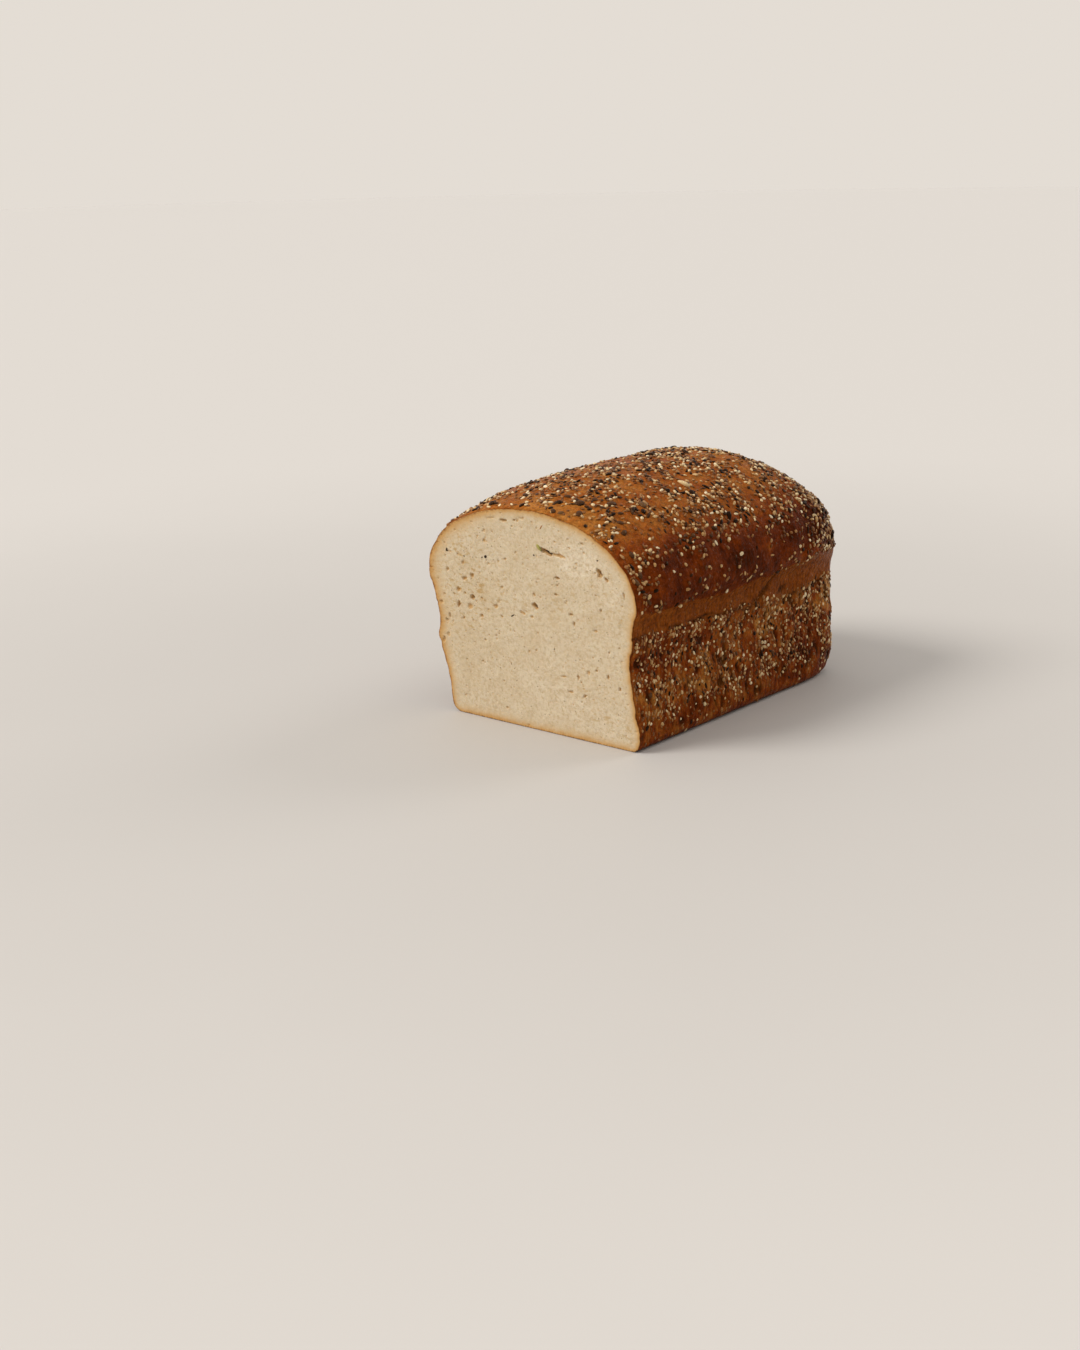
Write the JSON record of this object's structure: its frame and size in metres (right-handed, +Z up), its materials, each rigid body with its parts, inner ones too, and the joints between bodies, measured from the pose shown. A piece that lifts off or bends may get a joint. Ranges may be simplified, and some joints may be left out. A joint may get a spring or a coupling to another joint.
{
  "type": "rye bread loaf",
  "caption": "Seeded tin loaf of rye bread with a domed crust over straight walls, a pale break along the rim, and one end sliced off flat to show the crumb.",
  "frame": {"origin": "middle of the loaf's box at the level of its flat bottom", "axes": "+Z up, +Y along the loaf from the cut face to the heel, +X to the right as one looks at the cut face"},
  "size_m": [0.1534, 0.2198, 0.138],
  "materials": {
    "seeded_crust": "satin baked crust, mahogany on the dome and paler in the break",
    "crumb": "matte open crumb",
    "pale_seed": "satin toasted sesame",
    "dark_seed": "glossy flax and sunflower"
  },
  "bodies": {
    "root": {"rye_loaf": "seeded_crust"}
  },
  "joints": []
}
